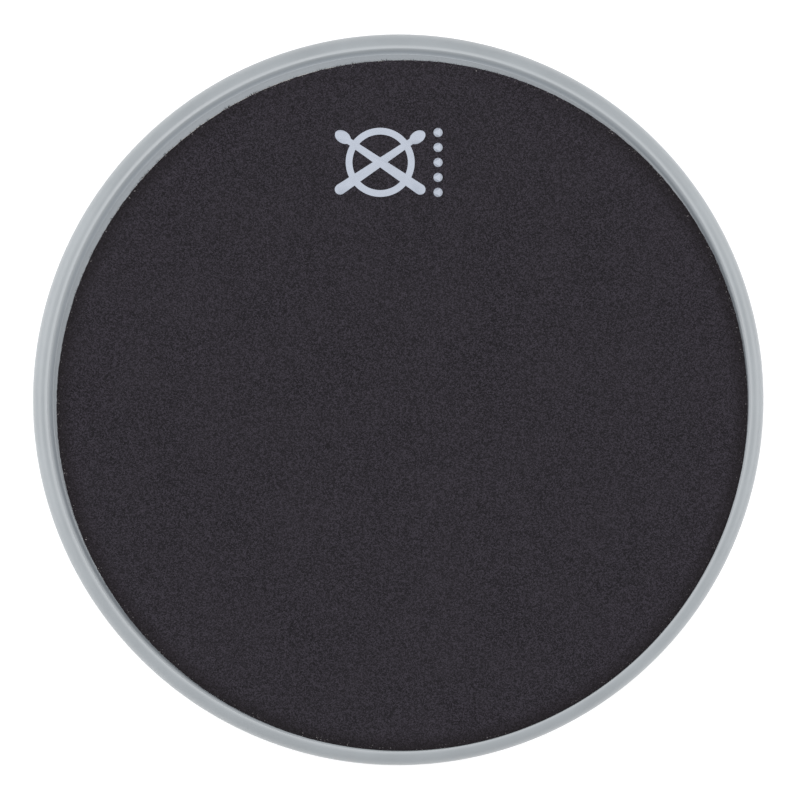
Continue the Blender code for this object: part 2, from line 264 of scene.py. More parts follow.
# %% The sweeping tree
SWEEP_RADIUS = 0.1  # the sweep's own circle. Any radius gives the same shape.


def new_tree(name, **numbers):
    """A Geometry Nodes tree with one geometry in and one out, and a named input for each number."""
    tree = bpy.data.node_groups.new(name, "GeometryNodeTree")
    tree.interface.new_socket("Geometry", in_out="INPUT", socket_type="NodeSocketGeometry")
    for label, value in numbers.items():
        kind = "NodeSocketInt" if isinstance(value, int) else "NodeSocketFloat"
        socket = tree.interface.new_socket(label, in_out="INPUT", socket_type=kind)
        socket.default_value = value
    tree.interface.new_socket("Geometry", in_out="OUTPUT", socket_type="NodeSocketGeometry")
    return tree, node(tree, "NodeGroupInput"), node(tree, "NodeGroupOutput")


def sweep_nodes(tree, section, steps):
    """Nodes that sweep a section, drawn in the XZ plane, round the Z axis."""
    spot = node(tree, "GeometryNodeInputPosition")
    parts = node(tree, "ShaderNodeSeparateXYZ", {0: spot.outputs[0]})
    across = maths(tree, "SUBTRACT", parts.outputs[0], SWEEP_RADIUS)
    down = maths(tree, "MULTIPLY", parts.outputs[2], -1.0)
    flat = node(tree, "ShaderNodeCombineXYZ", {0: across, 1: down})
    laid = node(tree, "GeometryNodeSetPosition", {"Geometry": section, "Position": flat.outputs[0]})
    line = node(tree, "GeometryNodeMeshToCurve", {"Mesh": laid.outputs[0]})
    ring = node(tree, "GeometryNodeCurvePrimitiveCircle", {"Resolution": steps, "Radius": SWEEP_RADIUS})
    upright = node(tree, "GeometryNodeSetCurveNormal", {"Curve": ring.outputs[0]}, mode="Z_UP")
    sockets = {"Curve": upright.outputs[0], "Profile Curve": line.outputs[0]}
    return node(tree, "GeometryNodeCurveToMesh", sockets).outputs[0]


def together(tree, *parts):
    both = node(tree, "GeometryNodeJoinGeometry")
    for part in parts:
        tree.links.new(part, both.inputs[0])
    return both.outputs[0]


def finish_tree(tree, geometry, output, material):
    """Ends a tree in real geometry with its material, because instances aren't kept."""
    real = node(tree, "GeometryNodeRealizeInstances", {"Geometry": geometry})
    painted = node(tree, "GeometryNodeSetMaterial", {"Geometry": real.outputs[0], "Material": material})
    tree.links.new(painted.outputs[0], output.inputs[0])


def section_object(name, outline, closed=True):
    edges = [(i, i + 1) for i in range(len(outline) - 1)]
    if closed:
        edges.append((len(outline) - 1, 0))
    mesh = bpy.data.meshes.new(name)
    mesh.from_pydata([(radius, 0.0, height) for radius, height in outline], edges, [])
    return add_object(name, mesh)


def grow(piece, tree, sharp=35.0, **numbers):
    """Runs the tree on the piece, then makes the result the piece's own plain mesh."""
    modifier = piece.modifiers.new(tree.name, "NODES")
    modifier.node_group = tree
    for item in tree.interface.items_tree:
        if item.in_out == "INPUT" and item.name in numbers:
            modifier[item.identifier] = numbers[item.name]
    settle(piece)
    return close_up(piece, sharp)


def settle(piece):
    """Makes what the modifiers give the piece's own mesh, and removes them."""
    bpy.context.view_layer.update()
    evaluated = piece.evaluated_get(bpy.context.evaluated_depsgraph_get())
    mesh = bpy.data.meshes.new_from_object(evaluated)
    mesh.name = piece.name
    piece.modifiers.clear()
    piece.data = mesh
    return piece


def close_up(piece, sharp=35.0, merge=0.002 * MM):
    """Closes seams and poles, turns the faces outwards and shades the piece smooth between sharp edges."""
    shape = bmesh.new()
    shape.from_mesh(piece.data)
    bmesh.ops.remove_doubles(shape, verts=shape.verts, dist=merge)
    bmesh.ops.recalc_face_normals(shape, faces=shape.faces)
    shape.to_mesh(piece.data)
    shape.free()
    piece.data.shade_smooth()
    piece.data.set_sharp_from_angle(angle=math.radians(sharp))
    return piece


def turned(name, outline, material, steps, closed=True, sharp=35.0):
    """A piece that is a section swept round the Z axis."""
    piece = section_object(name, outline, closed)
    tree, inputs, output = new_tree("turned", Steps=steps)
    swept = sweep_nodes(tree, inputs.outputs["Geometry"], inputs.outputs["Steps"])
    finish_tree(tree, swept, output, material)
    return grow(piece, tree, sharp, Steps=steps)


def cut_away(piece, cutter):
    """Takes the cutter's volume out of the piece, then removes the cutter."""
    cut = piece.modifiers.new("cut", "BOOLEAN")
    cut.solver = "EXACT"
    cut.operation = "DIFFERENCE"
    cut.object = cutter
    settle(piece)
    bpy.data.objects.remove(cutter)


def report(piece):
    piece.data.calc_loop_triangles()
    low = [min(v.co[k] for v in piece.data.vertices) * 1000 for k in range(3)]
    high = [max(v.co[k] for v in piece.data.vertices) * 1000 for k in range(3)]
    size = " x ".join(f"{b - a:.1f}" for a, b in zip(low, high))
    print(f"{piece.name}: {len(piece.data.loop_triangles)} triangles, {size} mm, from z {low[2]:.2f}")


# %% [markdown]
# ## Helpers for materials
#
# Every finish is a Principled shader fed by procedural textures. They read Object coordinates in
# millimetres, so that a pattern's size can be thought of as a real size: a noise of scale 2 has lumps
# about half a millimetre wide.

# %% Material helpers


class Finish:
    """A Principled material with short ways to add textures, all measured in millimetres."""

    def __init__(self, name, roughness, metallic=0.0):
        self.material = bpy.data.materials.new(name)
        self.material.use_nodes = True
        self.tree = self.material.node_tree
        self.shader = self.tree.nodes["Principled BSDF"]
        self.shader.inputs["Roughness"].default_value = roughness
        self.shader.inputs["Metallic"].default_value = metallic
        place = node(self.tree, "ShaderNodeTexCoord")
        scale = (1 / MM, 1 / MM, 1 / MM)
        sized = {"Vector": place.outputs["Object"], "Scale": scale}
        self.place = node(self.tree, "ShaderNodeMapping", sized).outputs[0]

    def noise(self, scale, detail=3.0, roughness=0.6, distortion=0.0, place=None):
        sockets = {"Vector": place or self.place, "Scale": scale, "Detail": detail}
        sockets.update({"Roughness": roughness, "Distortion": distortion})
        return node(self.tree, "ShaderNodeTexNoise", sockets).outputs["Fac"]

    def cells(self, scale, feature="F1", randomness=1.0):
        """The distance to the middle of the nearest cell, and a number that differs from cell to cell."""
        sockets = {"Vector": self.place, "Scale": scale, "Randomness": randomness}
        made = node(self.tree, "ShaderNodeTexVoronoi", sockets, feature=feature)
        apart = node(self.tree, "ShaderNodeSeparateColor", {0: made.outputs["Color"]})
        return made.outputs["Distance"], apart.outputs[0]

    def spread(self, *values):
        return spread(self.tree, *values)

    def maths(self, operation, *values):
        return maths(self.tree, operation, *values)

    def apart(self, value=None):
        """The X, Y and Z of the place, or of another vector."""
        return node(self.tree, "ShaderNodeSeparateXYZ", {0: self.place if value is None else value}).outputs

    def reach(self, middle=(0.0, 0.0)):
        """How far a place is from a vertical axis, and the flat vector from that axis to it."""
        flat = vector_maths(self.tree, "MULTIPLY", self.place, (1.0, 1.0, 0.0))
        away = vector_maths(self.tree, "SUBTRACT", flat, (*middle, 0.0))
        return vector_maths(self.tree, "LENGTH", away), away

    def blend(self, amount, first, second, how="MIX"):
        """Two colours mixed by an amount from 0 to 1."""
        made = node(self.tree, "ShaderNodeMix", data_type="RGBA", blend_type=how)
        for key, value in ((0, amount), (6, first), (7, second)):
            if isinstance(value, bpy.types.NodeSocket):
                self.tree.links.new(value, made.inputs[key])
            elif key:
                made.inputs[key].default_value = (*value, 1.0)
            else:
                made.inputs[key].default_value = value
        return made.outputs[2]

    def colour(self, value):
        self.tree.links.new(value, self.shader.inputs["Base Color"])

    def roughness(self, value):
        self.tree.links.new(value, self.shader.inputs["Roughness"])

    def bump(self, *layers):
        """Relief from (height, depth in millimetres) layers, the coarsest first."""
        normal = None
        for height, depth in layers:
            sockets = {"Height": height, "Distance": depth * MM, "Strength": 1.0}
            if normal:
                sockets["Normal"] = normal
            normal = node(self.tree, "ShaderNodeBump", sockets).outputs[0]
        self.tree.links.new(normal, self.shader.inputs["Normal"])


def wear(piece_name, material):
    """Gives a CAD node that stays in view its finish."""
    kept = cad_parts[piece_name]
    kept.data.materials.clear()
    kept.data.materials.append(material)


# %% [markdown]
# ## The tray
#
# The tray is compression-moulded silicone. Its surface is the mould's: satin, with a very fine grain, a
# little cloudier in patches where it has been handled, and here and there a speck of dust, because
# silicone holds on to it. The colour hardly changes apart from painted shade in the groove inside the
# mouth, so what shows the shape is the way that the satin surface catches the soft boxes.

# %% Silicone
TRAY_GREY = srgb(147, 152, 156)
TRAY_GROOVE_SHADE = (145.7, 144.8)  # millimetres from the axis: where the painted shade in the groove starts, and is full


def make_silicone():
    finish = Finish("tray_silicone", 0.42)
    clouds = finish.noise(0.03, detail=4.0)
    grain = finish.noise(6.0, detail=2.0)
    fine = finish.noise(1.6, detail=4.0)
    dust = finish.spread(finish.noise(1.1, detail=5.0, roughness=0.8), 0.0, 1.0, 0.66, 0.74)
    deep = scaled(TRAY_GREY, 0.95)
    light = scaled(TRAY_GREY, 1.04)
    body = finish.blend(finish.spread(clouds, 0.0, 1.0, 0.35, 0.65), deep, light)
    dusty = finish.blend(finish.maths("MULTIPLY", dust, 0.10), body, srgb(205, 206, 204))
    # Painted shade: the silicone is darker in the groove inside the mouth, where the crest shades it.
    groove_shade = finish.spread(finish.reach()[0], 0.0, 1.0, *TRAY_GROOVE_SHADE)
    finish.colour(finish.blend(groove_shade, dusty, srgb(134, 140, 146)))
    finish.roughness(finish.spread(clouds, 0.32, 0.42, 0.3, 0.7))
    finish.bump((fine, 0.010), (grain, 0.006))
    finish.shader.inputs["Specular IOR Level"].default_value = 0.55
    return finish.material


silicone = make_silicone()

# %% [markdown]
# The section of the tray starts on the thin lip inside its mouth and climbs to a narrow flat crest, which
# stands a little higher than what the tray holds. Outside the crest the wall falls away gently, bulges out
# to the pad's widest ring and rolls under to the flat underside. Two things tell that it came out of a
# mould: a hair-thin parting line round the widest ring, and three low ridges under the pad, outside the
# grip sheet, that hold the table when the tray is pressed down.
#
# The lip is soft. Where the playing surface reaches over it, it is pressed down flat on the cushion.

# %% How high the cushion lies inside the tray
MOUTH_RADIUS = 145.8 * MM
CUSHION_REACH = MOUTH_RADIUS - 0.02 * MM  # the real cushion fills the tray, wall to wall
SHOULDER_WIDTH = 6.0 * MM
SHOULDER_DROP = 0.8 * MM
CROWN = 0.15 * MM  # how much lower the cushion's top is at its shoulder than in the middle
cushion_top = cushion_high.z + GLUE_GAP
shoulder_radius = CUSHION_REACH - SHOULDER_WIDTH


def cushion_height(radius):
    """Height of the cushion's top at a distance from the pad's axis."""
    height = cushion_top - CROWN * min(1.0, radius / shoulder_radius) ** 2
    if radius > shoulder_radius:
        share = min(1.0, (radius - shoulder_radius) / SHOULDER_WIDTH)
        height -= SHOULDER_DROP * share * share
    return height


LIP_REACH = MOUTH_RADIUS - 2.2 * MM  # a soft lip inside the mouth laps over the cushion's rim
CREST_START = MOUTH_RADIUS + 0.4 * MM
LIP_FOOT, LIP_HEAD = 1.3 * MM, 0.65 * MM  # how far its curve starts out level from either end
PRESSED_BESIDE = 0.3 * MM  # how far beside the sheet it stays pressed down
PRESSED_LIP = 0.04 * MM  # how thick it is there
PRESSED_SLOPE = 8.0  # how steeply the lip rises again beside the sheet that presses it down


def lip_line():
    """The lip's upper side, from its feather edge up to the crest: flat at both ends."""
    low, high = cushion_height(LIP_REACH) + 0.03 * MM, tray_high.z
    start, end = (LIP_REACH, low), (CREST_START, high)
    return bezier(start, (LIP_REACH + LIP_FOOT, low), (CREST_START - LIP_HEAD, high), end, 16)


def pressed_height(x, y, height):
    """The lip's height at a place, once the sheet's edge has pressed it down on the cushion."""
    beside = math.hypot(x - sheet_centre.x, y - sheet_centre.y) - (sheet_radius + PRESSED_BESIDE)
    lowest = cushion_height(min(math.hypot(x, y), CUSHION_REACH)) + PRESSED_LIP
    return min(height, lowest + PRESSED_SLOPE * max(0.0, beside))


# %% Tray
CREST_FLAT = 1.0 * MM
FALL_WIDTH = 3.3 * MM  # how far out from the crest the wall falls gently before it bulges
FALL_DROP = 0.6 * MM
WIDEST_HEIGHT = 18.6 * MM
UNDERSIDE_HEIGHT = 1.2 * MM
UNDERSIDE_RADIUS = 144.5 * MM
PARTING_WIDTH = 0.35 * MM
PARTING_HEIGHT = 0.07 * MM
RIDGE_RADII = (134.0 * MM, 137.2 * MM, 140.4 * MM)
RIDGE_HEIGHT = 0.5 * MM
RIDGE_HALF_WIDTH = 0.7 * MM
RECESS_INNER = 23.5 * MM  # the grip sheet lies in a recess that starts here
HOLE_RADIUS = 21.5 * MM
FLOOR_CORNER = 1.2 * MM
TRAY_STEPS = 288


def tray_section():
    crest = tray_high.z
    wall = pad_radius - PARTING_HEIGHT
    edge = CREST_START + CREST_FLAT
    upper = bezier(
        (edge, crest),
        (edge + FALL_WIDTH, crest - FALL_DROP),
        (wall, WIDEST_HEIGHT + 5.2 * MM),
        (wall, WIDEST_HEIGHT + 0.6 * MM),
        36,
    )
    parting = [
        (wall, WIDEST_HEIGHT + PARTING_WIDTH / 2),
        (pad_radius, WIDEST_HEIGHT + PARTING_WIDTH / 5),
        (pad_radius, WIDEST_HEIGHT - PARTING_WIDTH / 5),
        (wall, WIDEST_HEIGHT - PARTING_WIDTH / 2),
    ]
    lower = bezier(
        (wall, WIDEST_HEIGHT - 0.6 * MM),
        (wall, WIDEST_HEIGHT / 2),
        (wall - 1.6 * MM, UNDERSIDE_HEIGHT),
        (UNDERSIDE_RADIUS, UNDERSIDE_HEIGHT),
        20,
    )
    ridges = []
    for radius in reversed(RIDGE_RADII):
        ridges += arc((radius, UNDERSIDE_HEIGHT), (RIDGE_HALF_WIDTH, -RIDGE_HEIGHT), 0, 180, 6)
    recess_outer = grip_high.x + 0.5 * MM
    floor_top = board_low.z - GLUE_GAP
    recess = [
        (recess_outer, UNDERSIDE_HEIGHT),
        (recess_outer, grip_high.z),
        (RECESS_INNER, grip_high.z),
        (RECESS_INNER, UNDERSIDE_HEIGHT),
        (HOLE_RADIUS, UNDERSIDE_HEIGHT),
        (HOLE_RADIUS, floor_top),
    ]
    middle = (MOUTH_RADIUS - FLOOR_CORNER, floor_top + FLOOR_CORNER)
    corner = arc(middle, (FLOOR_CORNER, FLOOR_CORNER), 270, 360, 4)
    lip_below = [(r, cushion_height(r) + 0.01 * MM) for r in np.linspace(CUSHION_REACH, LIP_REACH, 12)]
    return joined(lip_line(), upper, parting, lower, ridges, softened(recess, 0.3 * MM), corner, lip_below)


def make_tray():
    piece = turned("tray_shell", tray_section(), silicone, TRAY_STEPS, sharp=60.0)
    for vertex in piece.data.vertices:
        x, y, z = vertex.co
        if LIP_REACH - MM < math.hypot(x, y) < CREST_START + MM and z > cushion_low.z + 5.0 * MM:
            vertex.co.z = pressed_height(x, y, z)
    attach(piece, "root")
    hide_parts("rim_tray")
    report(piece)


make_tray()

# %% [markdown]
# ## The cushion
#
# The cushion is a disc of closed-cell foam, dropped into the tray a few millimetres below its mouth. Its
# top rim is soft and sinks towards the wall, and the part of it that the playing surface doesn't cover is
# the ring inside the crest. It is nearly the tray's grey, but matt, with fine pores.

# %% Foam
FOAM_GREY = srgb(143, 148, 153)
FOAM_GROOVE_SHADE = (141.0, 144.5)  # millimetres from the axis, as for the tray: where the painted shade in the groove starts, and is full


def make_foam(name, colour, pore_size, depth):
    finish = Finish(name, 0.78)
    pores, shade = finish.cells(1 / pore_size)
    fine = finish.noise(3.0 / pore_size, detail=3.0)
    clouds = finish.noise(0.05)
    pore_shade = finish.spread(pores, 1.0, 0.0, 0.0, 0.45)
    body = finish.blend(finish.spread(clouds, 0.0, 1.0, 0.3, 0.7), scaled(colour, 0.94), colour)
    body = finish.blend(finish.spread(shade, 0.0, 0.3), body, scaled(colour, 1.25))
    # Painted shade in the pores: darker where each pore sinks in.
    body = finish.blend(finish.maths("MULTIPLY", pore_shade, 0.25), body, scaled(colour, 0.6))
    # Painted shade: the foam is darker towards the tray's wall, where the crest shades it.
    groove_shade = finish.spread(finish.reach()[0], 0.0, 1.0, *FOAM_GROOVE_SHADE)
    finish.colour(finish.blend(groove_shade, body, scaled(colour, 0.84)))
    finish.roughness(finish.spread(fine, 0.7, 0.88))
    finish.bump((pores, depth), (fine, depth / 2))
    return finish.material


cushion_foam = make_foam("cushion_foam", FOAM_GREY, 0.45, 0.03)
backing_foam = make_foam("backing_foam_pale", srgb(184, 181, 177), 0.25, 0.03)

# %% Cushion


def make_cushion():
    reaches = [*np.linspace(0.0, shoulder_radius, 10), *np.linspace(shoulder_radius, CUSHION_REACH, 15)]
    top = [(r, cushion_height(r)) for r in reaches]
    bottom = cushion_low.z
    foot = [(CUSHION_REACH, bottom + 0.4 * MM), (CUSHION_REACH - 0.4 * MM, bottom)]
    outline = joined(top, foot, [(0.0, bottom)])
    piece = turned("foam_cushion", outline, cushion_foam, TRAY_STEPS, closed=False, sharp=60.0)
    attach(piece, "root")
    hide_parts("cushion")
    report(piece)
    return piece


cushion = make_cushion()

# %% [markdown]
# ## The playing surface
#
# A knit is bonded to a thin layer of pale foam, cut out as one disc with a round knife and glued on by
# hand, a little off the pad's axis. On one side it reaches over the cushion's shoulder and droops, and on
# the other it stops short of it.
#
# How it droops is worked out by cloth simulation. The disc is glued, so all but its outer band is pinned.
# The solver's smallest collision distance is a millimetre, which is more than the disc is thick, so the
# test is run at ten times the real size.

# %% Draping the disc
SIM_SCALE = 10.0
SIM_FRAMES = 24
GLUED_RADIUS = 132.0 * MM
RING_RADII = [0.12, 0.3, 0.5, 0.68, 0.82, 0.9, 0.935, 0.955, 0.968, 0.977, 0.984, 0.990, 0.995, 1.0]
SIM_SECTORS = 180


def ring_points(share, sectors):
    for i in range(sectors):
        angle = math.tau * i / sectors
        radius = sheet_radius * share
        yield sheet_centre.x + radius * math.cos(angle), sheet_centre.y + radius * math.sin(angle)


def polar_mesh(name, rings):
    """A disc from rings of points, the innermost first, closed by a fan at its middle."""
    points = [point for ring in rings for point in ring]
    centre = Vector((0.0, 0.0, 0.0))
    for point in rings[0]:
        centre += Vector(point) / len(rings[0])
    points.append(tuple(centre))
    count = len(rings[0])
    faces = []
    for k in range(len(rings) - 1):
        for i in range(count):
            j = (i + 1) % count
            faces.append((k * count + i, (k + 1) * count + i, (k + 1) * count + j, k * count + j))
    for i in range(count):
        faces.append((len(points) - 1, i, (i + 1) % count))
    mesh = bpy.data.meshes.new(name)
    mesh.from_pydata(points, [], faces)
    return mesh


def flat_rings(sectors):
    """The disc as it would lie if it didn't droop: on the cushion's crown, then straight out."""
    rings = []
    for share in RING_RADII:
        ring = []
        for x, y in ring_points(share, sectors):
            reach = min(math.hypot(x, y), shoulder_radius)
            ring.append((x, y, cushion_height(reach)))
        rings.append(ring)
    return rings


def simulated_rings():
    """The disc's rings after it has drooped over the cushion's shoulder under its own weight."""
    rings = flat_rings(SIM_SECTORS)
    mesh = polar_mesh("drape_trial", rings)
    mesh.transform(Matrix.Scale(SIM_SCALE, 4))
    trial = add_object("drape_trial", mesh)
    glued = trial.vertex_groups.new(name="glued")
    for vertex in mesh.vertices:
        away = (Vector(vertex.co[:2]) / SIM_SCALE - sheet_centre).length
        if away < GLUED_RADIUS:
            glued.add([vertex.index], 1.0, "REPLACE")
    block = add_object("drape_block", cushion.data.copy())
    block.data.transform(Matrix.Scale(SIM_SCALE, 4))
    block.modifiers.new("collision", "COLLISION")
    block.collision.thickness_outer = 0.001
    cloth = trial.modifiers.new("cloth", "CLOTH")
    cloth.settings.quality = 6
    cloth.settings.mass = 0.3
    cloth.settings.tension_stiffness = 40.0
    cloth.settings.compression_stiffness = 40.0
    cloth.settings.bending_stiffness = 2.0
    cloth.settings.vertex_group_mass = "glued"
    cloth.settings.effector_weights.gravity = 1.0
    cloth.collision_settings.distance_min = 0.001
    cloth.collision_settings.use_self_collision = False
    cloth.point_cache.frame_start = 1
    cloth.point_cache.frame_end = SIM_FRAMES
    scene = bpy.context.scene
    for number in range(1, SIM_FRAMES + 1):
        scene.frame_set(number)
    settled = trial.evaluated_get(bpy.context.evaluated_depsgraph_get()).to_mesh()
    points = [tuple(v.co / SIM_SCALE) for v in settled.vertices]
    scene.frame_set(1)
    for used in (trial, block):
        bpy.data.objects.remove(used)
    return [points[k * SIM_SECTORS : (k + 1) * SIM_SECTORS] for k in range(len(RING_RADII))]


def draped_rings():
    """The simulated rings, kept on the cushion and never above where the flat disc would lie."""
    flat = flat_rings(SIM_SECTORS)
    found = simulated_rings()
    rings, lowest = [], 0.0
    for flat_ring, ring in zip(flat, found):
        kept = []
        for (_, _, z0), (x, y, z) in zip(flat_ring, ring):
            height = min(z0, max(z, cushion_height(math.hypot(x, y)) + 0.04 * MM))
            lowest = min(lowest, height - z0)
            kept.append((x, y, height))
        rings.append(kept)
    print(f"the disc droops by up to {-1000 * lowest:.2f} mm")
    return rings


rings = draped_rings()

# %% [markdown]
# The knit and its backing are two pieces on the same drape. The knife leaves a slightly uneven edge, and
# the knit draws back from the backing's edge by a fraction of a millimetre, which leaves a pale line.

# %% Knit finish
KNIT_BLACK = srgb(38, 35, 41)
NUB_SIZE = 0.42  # millimetres, one loop of yarn seen from above
STITCH_WIDTH = 0.62  # millimetres
STITCH_HEIGHT = 0.5  # millimetres
SHADED_EDGE_BAND = 6.5  # millimetres, how far in from the knit's cut edge the painted shade reaches


def stitches(finish):
    """Height of a plain knit: columns of small Vs, each a pair of leaning loops."""
    x, y, _ = finish.apart()
    column = finish.maths("DIVIDE", x, STITCH_WIDTH)
    across = finish.maths("SUBTRACT", finish.maths("FRACT", column), 0.5)
    side = finish.maths("ABSOLUTE", across)
    row = finish.maths("DIVIDE", y, STITCH_HEIGHT)
    leaning = finish.maths("SUBTRACT", row, finish.maths("MULTIPLY", side, 1.5))
    loop = finish.maths("SINE", finish.maths("MULTIPLY", leaning, math.tau))
    ridge = finish.maths("SINE", finish.maths("MULTIPLY", side, math.tau))
    return finish.maths("ADD", finish.maths("MULTIPLY", loop, 0.35), ridge)


def make_knit():
    finish = Finish("knit_black", 0.85)
    nubs, shade = finish.cells(1 / NUB_SIZE)
    fuzz = finish.noise(3.5, detail=3.0, roughness=0.7)
    clouds = finish.noise(0.035, detail=3.0)
    knit = stitches(finish)
    dark = scaled(KNIT_BLACK, 0.32)
    light = scaled(KNIT_BLACK, 1.95)
    flecks = finish.maths("MULTIPLY", shade, finish.spread(fuzz, 0.55, 1.45, 0.35, 0.65))
    flecks = finish.maths("POWER", flecks, 1.6)
    body = finish.blend(flecks, dark, light)
    cloudy = finish.blend(finish.spread(clouds, 0.0, 0.12, 0.35, 0.65), body, srgb(52, 48, 54))

    edge = sheet_radius / MM
    reach, away = finish.reach(sheet_centre / MM)
    # Painted shade: the knit darkens towards its edge, where the tray's rim shades it, and least on the far
    # side.
    edge_shade = finish.spread(finish.apart(away)[1], 0.72, 0.15, edge * 0.7, edge * 0.98)
    edge_shade = finish.maths("MULTIPLY", edge_shade, finish.spread(reach, 0.0, 1.0, edge - SHADED_EDGE_BAND, edge))
    edge_shaded = finish.blend(edge_shade, cloudy, srgb(17, 13, 15))
    crumbs = finish.spread(finish.noise(1.7, detail=2.0), 0.0, 0.8, 0.66, 0.72)
    crumbs = finish.maths("MULTIPLY", crumbs, finish.spread(reach, 0.0, 1.0, edge - 2.0, edge - 0.6))
    finish.colour(finish.blend(crumbs, edge_shaded, srgb(140, 136, 136)))
    finish.roughness(finish.spread(fuzz, 0.8, 0.95))
    finish.bump((finish.spread(nubs, 1.0, 0.0, 0.0, 0.6), 0.06), (knit, 0.02), (fuzz, 0.02))
    finish.shader.inputs["Sheen Weight"].default_value = 0.05
    finish.shader.inputs["Sheen Roughness"].default_value = 0.5
    finish.shader.inputs["Specular IOR Level"].default_value = 0.15
    return finish.material


knit_black = make_knit()

# %% Knit and backing
EDGE_SECTORS = 1440
KNIFE_WANDER = 0.12 * MM
WANDER_WAVES = ((40, 1.0), (130, 0.7), (330, 0.9))  # how fine and how strong each wave of it is
DRAWN_TOWARDS = math.radians(117)  # the side where the knit is drawn back from the edge
knit_thickness = knit_high.z - knit_low.z
backing_thickness = backing_high.z - backing_low.z


def resampled(ring, sectors):
    points = np.array(ring + ring[:1])
    given = np.linspace(0.0, 1.0, len(points))
    wanted = np.arange(sectors) / sectors
    return np.stack([np.interp(wanted, given, points[:, k]) for k in range(3)], axis=1)


def outwards_by(point, distance):
    away = Vector(point[:2]) - sheet_centre
    moved = Vector(point[:2]) + away.normalized() * distance
    return (moved.x, moved.y, point[2])


def layer_mesh(name, lift, inset, wander_seed):
    """One layer of the disc, lifted off the cushion, its rim moved in by inset(angle)."""
    made = []
    for share, ring in zip(RING_RADII, rings):
        points = []
        for x, y, z in resampled(ring, EDGE_SECTORS):
            angle = math.atan2(y - sheet_centre.y, x - sheet_centre.x)
            near_edge = max(0.0, (share - 0.975) / 0.025)
            wander = 0.0
            for fine, strong in WANDER_WAVES:
                place = Vector((fine * math.cos(angle), fine * math.sin(angle), wander_seed))
                wander += strong * noise.noise(place)
            shift = near_edge * (wander * KNIFE_WANDER - inset(angle))
            points.append(outwards_by((x, y, z + lift), shift))
        made.append(points)
    return polar_mesh(name, made), made[-1]


def add_layer(name, mesh, thickness, material):
    piece = add_object(name, mesh)
    mesh.materials.append(material)
    wall = piece.modifiers.new("thickness", "SOLIDIFY")
    wall.thickness = thickness
    wall.offset = 1.0
    settle(piece)
    piece.data.shade_smooth()
    piece.data.set_sharp_from_angle(angle=math.radians(50))
    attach(piece, "root")
    report(piece)
    return piece


def drawn_back(angle):
    """From 0 to 1: how fully the knit is drawn back at this angle round the disc."""
    return max(0.0, math.cos(angle - DRAWN_TOWARDS)) ** 2


def knit_inset(angle):
    """How far in the knit's edge is moved. Where it isn't drawn back, it overhangs a little."""
    return (-0.52 + 0.50 * drawn_back(angle)) * MM


def backing_inset(angle):
    """The backing overhangs a little where the knit is drawn back."""
    return -0.2 * MM * drawn_back(angle)


backing_lift = 0.05 * MM
knit_lift = backing_lift + backing_thickness + 0.02 * MM
backing_shape, _ = layer_mesh("backing", backing_lift, backing_inset, 3.0)
knit_shape, knit_rim = layer_mesh("knit", knit_lift, knit_inset, 7.0)
backing = add_layer("foam_backing", backing_shape, backing_thickness, backing_foam)
knit = add_layer("knit_surface", knit_shape, knit_thickness, knit_black)
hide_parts("backing_foam")
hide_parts("knit_face")

# %% [markdown]
# Cutting a knit leaves its yarn ends free, so a fuzz of short fibres stands out all round the edge. It is
# thickest where the knit has drawn back and almost worn away on the side towards the player's right.
# Thousands of small things along a path are a job for Geometry Nodes: points along the rim, one bent
# fibre on each, with a random length, lean and turn.

# %% Edge fibres
FIBRE_SIDES = 3
FUZZY_SIDE = math.radians(118)  # the side on which the fuzz hasn't been rubbed short
FIBRES = {"Count": 3000, "Length": 0.9 * MM, "Girth": 0.07, "Seed": 11}
TUFTS = {"Count": 900, "Length": 0.95 * MM, "Girth": 0.2, "Seed": 23}


def random_value(tree, low, high, seed):
    """A random number from low to high, or a random vector if they are tuples."""
    vector = isinstance(low, tuple)
    kind = "FLOAT_VECTOR" if vector else "FLOAT"
    made = node(tree, "FunctionNodeRandomValue", {"Seed": seed}, data_type=kind)
    first = 0 if vector else 2
    made.inputs[first].default_value = low
    made.inputs[first + 1].default_value = high
    return made.outputs[0 if vector else 1]


